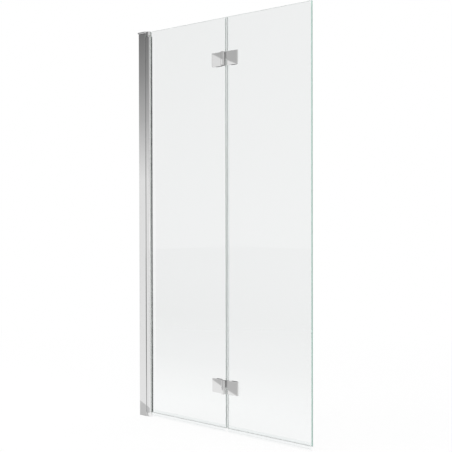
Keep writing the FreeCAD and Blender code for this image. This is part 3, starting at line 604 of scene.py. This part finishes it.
def makeFloor(look):
    # a flat white sheet: its own white to the eye, near the screen with some of its dull self for shadows
    reach, low = look["floorReach"], -look["floorGap"]
    mesh = bpy.data.meshes.new("floor")
    corners = [(-reach, -reach, low), (reach, -reach, low), (reach, reach, low), (-reach, reach, low)]
    mesh.from_pydata(corners, [], [(0, 1, 2, 3)])
    floor = bpy.data.objects.new("floor", mesh)
    scene.collection.objects.link(floor)
    material, tree = startMaterial("white_studio_floor")
    ray = add(tree, "ShaderNodeLightPath").outputs
    place = add(tree, "ShaderNodeTexCoord").outputs["Object"]
    away = add(tree, "ShaderNodeVectorMath", {0: place}, operation="LENGTH")
    near = add(tree, "ShaderNodeMapRange", {
        "Value": away.outputs["Value"],
        "From Min": look["shadowReach"][0], "From Max": look["shadowReach"][1],
        "To Min": 1 - look["shadowShare"], "To Max": 1,
    })
    notDull = add(tree, "ShaderNodeMath", {0: ray["Diffuse Depth"], 1: 0.5}, operation="LESS_THAN")
    share = add(tree, "ShaderNodeMath", {0: notDull.outputs[0], 1: near.outputs[0]}, operation="MULTIPLY")
    spot = add(tree, "ShaderNodeSeparateXYZ", {0: place}).outputs
    inFront = add(tree, "ShaderNodeMath", {0: spot["Y"], 1: 0}, operation="MINIMUM")
    rightward = add(tree, "ShaderNodeMath", {0: spot["X"], 1: inFront.outputs[0]}, operation="ADD")
    toRight = add(tree, "ShaderNodeMapRange", {
        "Value": rightward.outputs[0], "From Min": look["floorRight"], "From Max": look["floorReach"],
        "To Max": look["floorRise"] * (look["floorReach"] - look["floorRight"]),
    })
    across = add(tree, "ShaderNodeMath", {0: spot["Y"]}, operation="ABSOLUTE")
    toLeft = add(tree, "ShaderNodeMath", {0: look["floorLeft"], 1: spot["X"]}, operation="SUBTRACT")
    farther = add(tree, "ShaderNodeMath", {0: across.outputs[0], 1: toLeft.outputs[0]}, operation="MAXIMUM")
    dim = add(tree, "ShaderNodeMath", {0: farther.outputs[0], 1: toRight.outputs[0]}, operation="SUBTRACT")
    outwards = add(tree, "ShaderNodeMapRange", {"Value": dim.outputs[0], "From Max": look["floorSpan"]})
    tones = add(tree, "ShaderNodeValToRGB", {0: outwards.outputs[0]}, stops=look["floorTones"])
    mirrored = add(tree, "ShaderNodeMath", {0: ray["Glossy Depth"], 1: 0.5}, operation="GREATER_THAN")
    tint = add(tree, "ShaderNodeMix", {
        0: mirrored.outputs[0], 6: (1, 1, 1, 1), 7: tones.outputs[0],
    }, data_type="RGBA")
    dull = add(tree, "ShaderNodeBsdfDiffuse", {"Color": linear(look["floorTint"])})
    bright = add(tree, "ShaderNodeEmission", {"Color": tint.outputs[2], "Strength": 1})
    mixed = add(tree, "ShaderNodeMixShader", {0: share.outputs[0], 1: dull.outputs[0], 2: bright.outputs[0]})
    finishMaterial(tree, mixed)
    mesh.materials.append(material)


def stand(across, heights, depth=-0.3):
    # points of an upright card's edge, in front of the screen
    return [(x, depth, z) for x, z in zip(across, heights)]


postHeights = (0, 0.94, 1.2, 1.4, 1.6)
cornerHeights = (0, 0.72, 1, 1.48)
upperAcross = (0.1135, 0.1665, 0.1955, 0.2537)
upperSlant = (1.435, 1.4113, 1.4042, 1.3826)  # where grey meets light on the upper hinge
lowerAcross = (0.1035, 0.1507, 0.1945, 0.2537)
lowerSlant = (0.12, 0.1015, 0.0867, 0.0681)

# grey and white cards that only mirrors see, as a photographer sets them for chrome:
# each is a strip of points from one end to the other, with a tone for every pair of points
cards = {
    "post_card": {  # dark at the top of the post, light from its middle down
        "left": stand((-0.37,) * 5, postHeights),
        "right": stand((-0.285,) * 5, postHeights),
        "tones": (0.94, 0.904, 0.516, 0.32, 0.2),
    },
    "corner_card": {  # light line down the profile's corner
        "left": stand((0.056,) * 4, cornerHeights, depth=-0.02),
        "right": stand((0.072,) * 4, cornerHeights, depth=-0.02),
        "tones": (1.05, 1.2, 0.75, 0.48),
    },
    "foot_card": {  # grey patch low on the post
        "left": [(-0.37, -0.299, 0.001), (-0.2465, -0.2093, 0.001), (-0.2455, -0.2085, 0.001),
                 (0, -0.0115, 0.001)],
        "right": [(-0.285, -0.299, 0.001), (-0.073, -0.1234, 0.001), (-0.0721, -0.1226, 0.001),
                  (0.064, -0.0115, 0.001)],
        "tones": (0.94, 0.94, 0.636, 0.636),
    },
    "upper_hinge_grey": {
        "left": stand(upperAcross, upperSlant),
        "right": stand(upperAcross, (1.441,) * 4),
        "tones": (0.52,) * 4,
    },
    "upper_hinge_light": {
        "left": stand((0.1035, *upperAcross), (1.383, 1.383, 1.383, 1.383, 1.382)),
        "right": stand((0.1035, *upperAcross), (1.441, *upperSlant)),
        "tones": (0.88, 0.88, 0.88, 0.94, 0.94),
    },
    "lower_hinge_grey": {
        "left": stand(lowerAcross, lowerSlant),
        "right": stand(lowerAcross, (0.1245,) * 4),
        "tones": (0.57,) * 4,
    },
    "lower_hinge_light": {
        "left": stand(lowerAcross, (0.0675,) * 4),
        "right": stand(lowerAcross, lowerSlant),
        "tones": (0.96,) * 4,
    },
}


def makeCards(cards):
    material, tree = startMaterial("reflector_card")
    tone = add(tree, "ShaderNodeAttribute", attribute_name="tone")
    finishMaterial(tree, add(tree, "ShaderNodeEmission", {"Color": tone.outputs["Color"], "Strength": 1}))
    for name, look in cards.items():
        # a ruled strip: quads between the left and the right edge, one after the other
        count = len(look["tones"])
        points = np.concatenate([look["left"], look["right"]])
        first = np.arange(count - 1)
        faces = np.stack([first, first + 1, first + count + 1, first + count], axis=1)
        mesh = bpy.data.meshes.new(name)
        mesh.from_pydata(points.tolist(), [], faces.tolist())
        mesh.attributes.new("tone", "FLOAT", "POINT").data.foreach_set("value", np.tile(look["tones"], 2))
        mesh.materials.append(material)
        card = bpy.data.objects.new(name, mesh)
        card.visible_camera = card.visible_diffuse = card.visible_transmission = False
        card.visible_shadow = card.visible_volume_scatter = False
        scene.collection.objects.link(card)


softBoxes = {
    "keyBox": {"place": (-1.6, -2.4, 2.6), "aim": (0.4, 0, 0.8), "size": 1.8, "watts": 36},
    "fillBox": {"place": (2.6, -1.2, 2.2), "aim": (0.4, 0, 0.8), "size": 1.6, "watts": 18},
}


def makeSoftBoxes(boxes):
    for name, box in boxes.items():
        lamp = bpy.data.lights.new(name, "AREA")
        lamp.size, lamp.energy = box["size"], box["watts"]
        holder = bpy.data.objects.new(name, lamp)
        holder.location = box["place"]
        facing = Vector(box["aim"]) - Vector(box["place"])
        holder.rotation_euler = facing.to_track_quat("-Z", "Y").to_euler()
        holder.visible_glossy = holder.visible_transmission = False
        scene.collection.objects.link(holder)


view = {
    "place": (3.2407, -2.6140, 0.8025),
    "yaw": 0.811959,  # turn from the glass's normal towards the free edge
    "pitch": 0.014162,
    "roll": -0.002075,
    "lens": 83.84,
    "sensor": 36,
    "clip": (0.05, 100),
}


def makeCamera(look):
    # right, up and back axes from yaw and pitch, then rolled about the back axis
    yaw, pitch, roll = look["yaw"], look["pitch"], look["roll"]
    back = Vector((math.sin(yaw) * math.cos(pitch), -math.cos(yaw) * math.cos(pitch), math.sin(pitch)))
    right = Vector((math.cos(yaw), math.sin(yaw), 0))
    up = back.cross(right)
    rolledRight = right * math.cos(roll) + up * math.sin(roll)
    rolledUp = up * math.cos(roll) - right * math.sin(roll)
    lens = bpy.data.cameras.new("camera")
    lens.lens, lens.sensor_width = look["lens"], look["sensor"]
    lens.clip_start, lens.clip_end = look["clip"]
    camera = bpy.data.objects.new("camera", lens)
    turn = Matrix((rolledRight, rolledUp, back)).transposed().to_4x4()
    camera.matrix_world = Matrix.Translation(look["place"]) @ turn
    scene.collection.objects.link(camera)
    scene.camera = camera


makeSky(studio)
makeFloor(studio)
makeCards(cards)
makeSoftBoxes(softBoxes)
makeCamera(view)
scene.view_settings.view_transform = "Standard"
print("studio and camera set")
